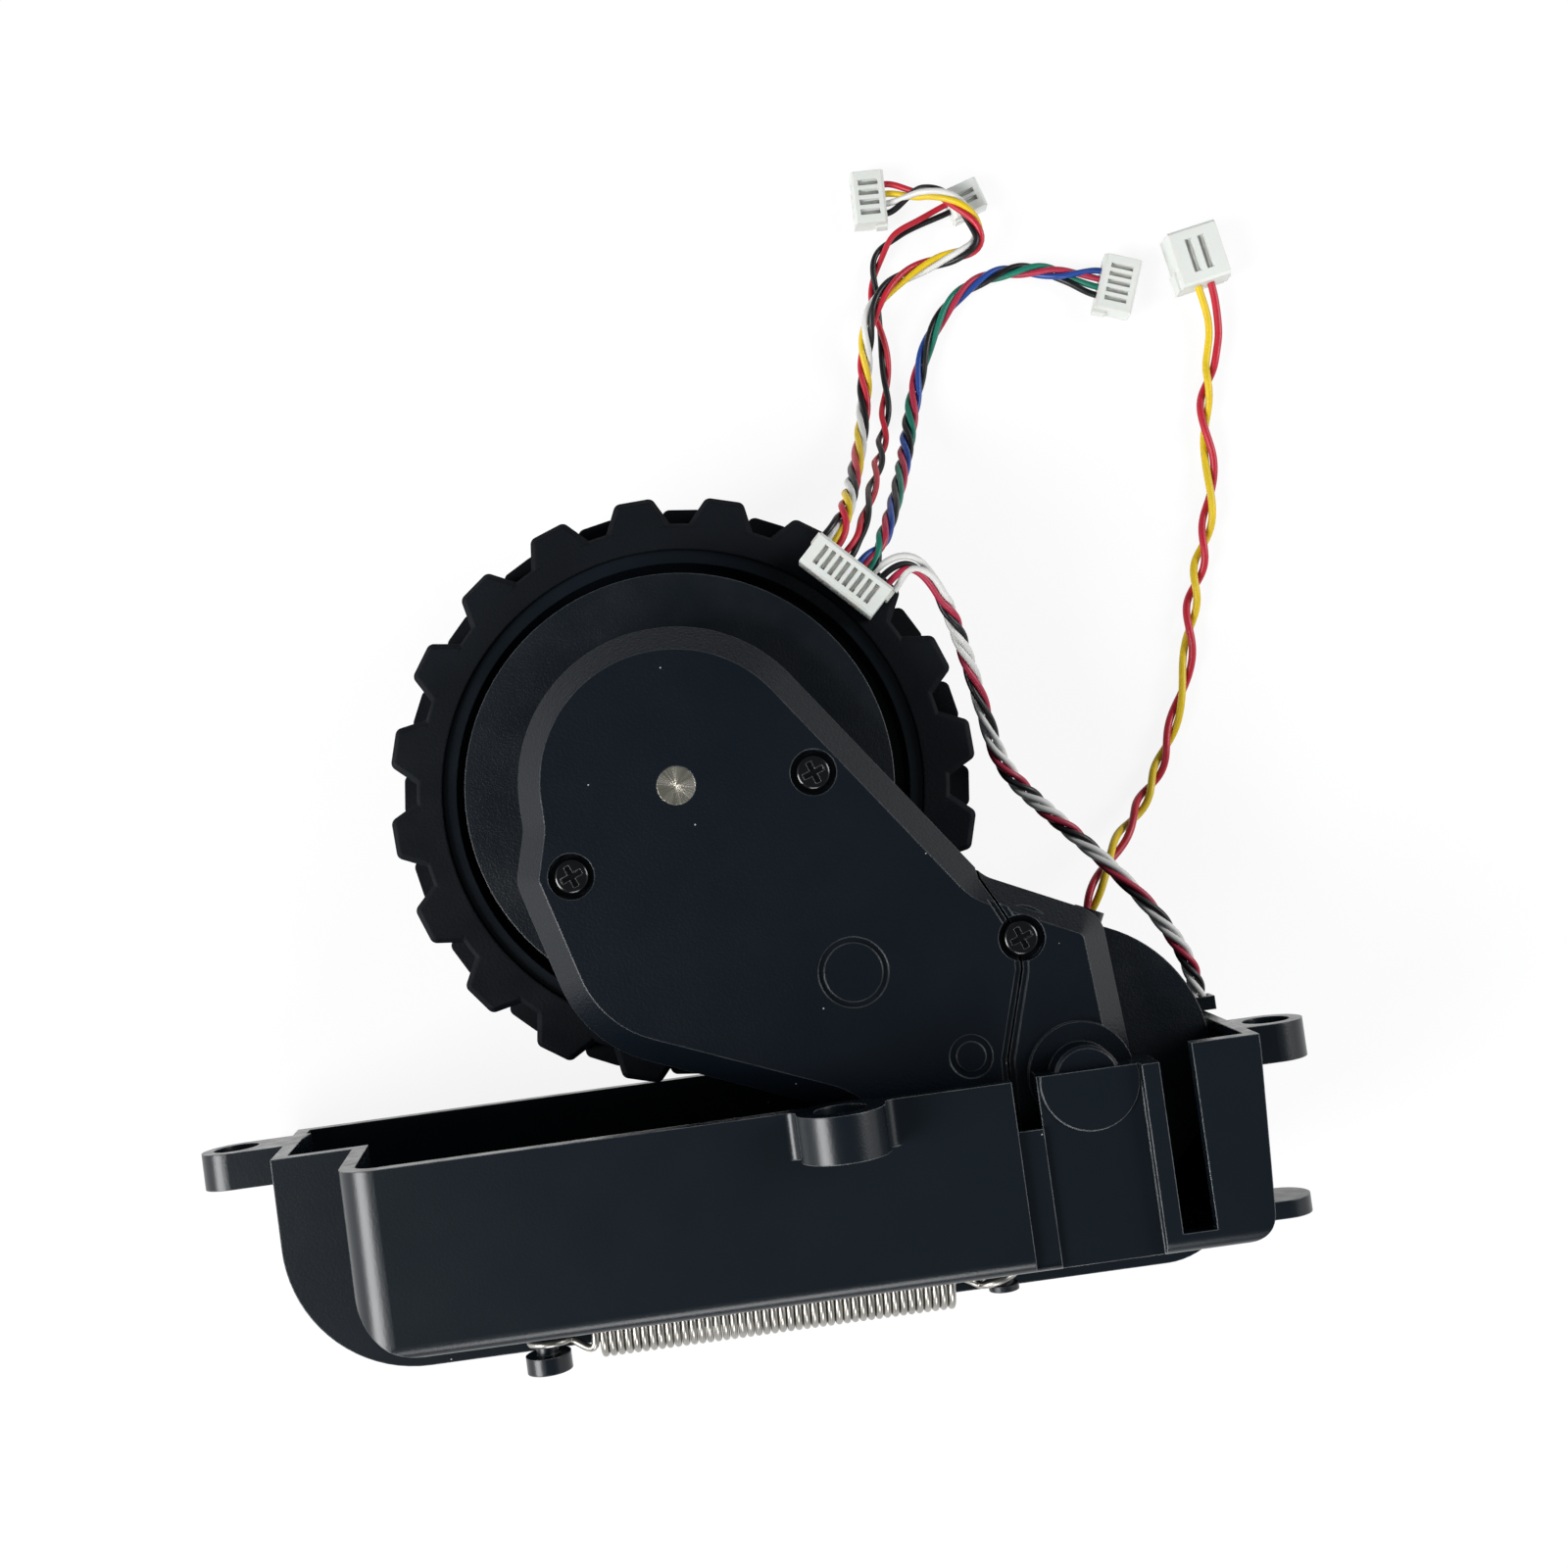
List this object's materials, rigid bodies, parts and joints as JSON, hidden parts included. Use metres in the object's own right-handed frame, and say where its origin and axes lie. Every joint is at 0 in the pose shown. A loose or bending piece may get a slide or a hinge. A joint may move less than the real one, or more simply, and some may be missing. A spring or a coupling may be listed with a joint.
{
  "type": "drive wheel module",
  "caption": "Sprung drive wheel module of a floor-cleaning robot: moulded tray, geared swing arm with motor, lugged tyre, extension spring and plugged wire bundles.",
  "frame": {"origin": "on the swing arm's pivot axis, in the outer face of the tray's far side wall, on which the module lies", "axes": "+Z along the wheel axle, from the face it lies on to the gearbox; +X along the tray's rim, from the wheel end to the pivot end; +Y out of the tray's mouth"},
  "size_m": [0.1683, 0.1639, 0.0556],
  "materials": {
    "housing_plastic": "fine satin moulding",
    "arm_plastic": "fine satin moulding",
    "spring_steel": "bright drawn wire",
    "black_screw": "black coated",
    "motor_steel": "plated",
    "end_cap_plastic": "satin",
    "magnet": "dull",
    "carbon": "dull",
    "bright_steel": "ground",
    "core_steel": "laminated",
    "copper": "enamelled wire",
    "board": "green",
    "chip": "dull",
    "sintered": "oiled",
    "gear_plastic": "natural",
    "hub_plastic": "satin",
    "tyre_rubber": "dull",
    "wire_sleeve": "soft sleeve",
    "plug_nylon": "natural"
  },
  "bodies": {
    "housing": {"wheel_housing": "housing_plastic"},
    "spring": {"return_spring": "spring_steel"},
    "swing_arm": {"gearbox_case": "arm_plastic", "gearbox_cap": "arm_plastic", "pivot_cap": "arm_plastic", "motor_cover": "arm_plastic", "cap_screws": "black_screw", "cover_screws": "black_screw", "motor_screws": "black_screw", "motor_can": "motor_steel", "motor_end_cap": "end_cap_plastic", "motor_magnets": "magnet", "motor_brushes": "carbon", "sensor_board": "board", "hall_sensor": "chip", "first_gear_pin": "bright_steel", "second_gear_pin": "bright_steel", "axle": "bright_steel", "axle_clip": "bright_steel", "power_cord": "wire_sleeve", "signal_cord": "wire_sleeve", "branch_cord_a": "wire_sleeve", "branch_cord_b": "wire_sleeve", "branch_cord_c": "wire_sleeve", "harness_plug": "plug_nylon", "power_plug": "plug_nylon", "branch_plug_a": "plug_nylon", "branch_plug_b": "plug_nylon", "branch_plug_c": "plug_nylon"},
    "drive_wheel": {"wheel_hub": "hub_plastic", "tyre": "tyre_rubber", "output_gear": "gear_plastic", "wheel_bushes": "sintered"},
    "rotor": {"motor_shaft": "bright_steel", "motor_pinion": "sintered", "armature_core": "core_steel", "armature_windings": "copper", "commutator": "copper", "sensor_magnet": "magnet"},
    "first_stage": {"first_gear": "gear_plastic"},
    "second_stage": {"second_gear": "gear_plastic"}
  },
  "joints": [
    {"name": "arm_swing", "type": "hinge", "parent": "housing", "child": "swing_arm", "pos_m": [0, 0, 0.024], "axis": [0, 0, 1], "range_deg": [0, 29], "stiffness_Nm_per_rad": 0.29, "springref_deg": -34.38},
    {"name": "spring_stretch", "type": "slide", "parent": "housing", "child": "spring", "axis": [0.9775, -0.2109, 0], "range_m": [0, 0.0146], "deforming": ["return_spring"]},
    {"name": "wheel_spin", "type": "hinge", "parent": "swing_arm", "child": "drive_wheel", "pos_m": [-0.0466, 0.0438, 0.0137], "axis": [0, 0, 1], "continuous": true},
    {"name": "rotor_spin", "type": "hinge", "parent": "swing_arm", "child": "rotor", "pos_m": [0, 0, 0.02], "axis": [0, 0, 1], "continuous": true},
    {"name": "first_gear_spin", "type": "hinge", "parent": "swing_arm", "child": "first_stage", "pos_m": [-0.01364, 0.00412, 0.036], "axis": [0, 0, 1], "continuous": true},
    {"name": "second_gear_spin", "type": "hinge", "parent": "swing_arm", "child": "second_stage", "pos_m": [-0.02718, 0.01687, 0.03], "axis": [0, 0, 1], "continuous": true}
  ],
  "couplings": [
    {"joint": "spring_stretch", "follows": "arm_swing", "m_per_rad": 0.0287},
    {"joint": "second_gear_spin", "follows": "wheel_spin", "ratio": -3.3684},
    {"joint": "first_gear_spin", "follows": "wheel_spin", "ratio": 14.035},
    {"joint": "rotor_spin", "follows": "wheel_spin", "ratio": -65.965}
  ]
}
